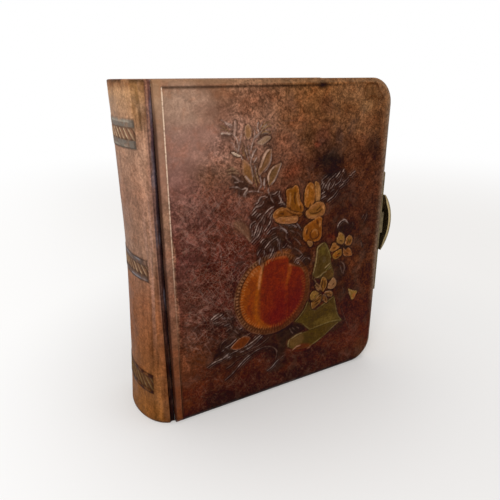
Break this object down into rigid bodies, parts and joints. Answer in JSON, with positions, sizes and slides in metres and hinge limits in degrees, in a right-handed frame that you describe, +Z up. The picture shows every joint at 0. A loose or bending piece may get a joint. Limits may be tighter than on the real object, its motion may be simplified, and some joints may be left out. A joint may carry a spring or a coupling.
{
  "type": "photograph album",
  "caption": "Thick leather-bound album standing upright: embossed front cover, rounded spine with three raised bands, hinged boards and an arched brass hasp over the fore-edge.",
  "frame": {"origin": "middle of the foot of the bounding box, on the surface that the album stands on", "axes": "+Z up from tail to head, front cover facing -Y, spine towards -X, fore-edge and clasp towards +X"},
  "size_m": [0.2464, 0.0826, 0.27],
  "materials": {
    "cover_hide": "worn, mottled, low sheen",
    "spine_hide": "rubbed and creased",
    "joint_hide": "dark, worn",
    "millboard": "matt",
    "leaf_card": "gilt edges",
    "endpaper": "matt",
    "lining_cloth": "open weave",
    "clasp_brass": "tarnished",
    "spring_steel": "dull"
  },
  "bodies": {
    "book": {"leaf_block": "leaf_card", "spine_lining": "lining_cloth", "spine_stiffener": "millboard", "spine_leather": "spine_hide", "front_hinge_strip": "joint_hide", "back_hinge_strip": "joint_hide"},
    "front_cover": {"front_board": "millboard", "front_cover_leather": "cover_hide", "front_pastedown": "endpaper", "clasp_front_plate": "clasp_brass", "clasp_front_nails": "clasp_brass", "clasp_catch": "clasp_brass"},
    "back_cover": {"back_board": "millboard", "back_cover_leather": "cover_hide", "back_pastedown": "endpaper", "clasp_back_plate": "clasp_brass", "clasp_back_nails": "clasp_brass", "clasp_hinge_pin": "clasp_brass"},
    "hasp": {"clasp_hasp": "clasp_brass", "hasp_spring": "spring_steel", "hasp_rivet": "clasp_brass"}
  },
  "joints": [
    {"name": "front_cover_hinge", "type": "hinge", "parent": "book", "child": "front_cover", "pos_m": [-0.1004, -0.0395, 0.135], "axis": [0, 0, -1], "range_deg": [0, 165]},
    {"name": "back_cover_hinge", "type": "hinge", "parent": "book", "child": "back_cover", "pos_m": [-0.1004, 0.0401, 0.135], "axis": [0, 0, 1], "range_deg": [0, 165]},
    {"name": "hasp_hinge", "type": "hinge", "parent": "back_cover", "child": "hasp", "pos_m": [0.1137, 0.0369, 0.1424], "axis": [0, 0, 1], "range_deg": [0, 150]}
  ]
}
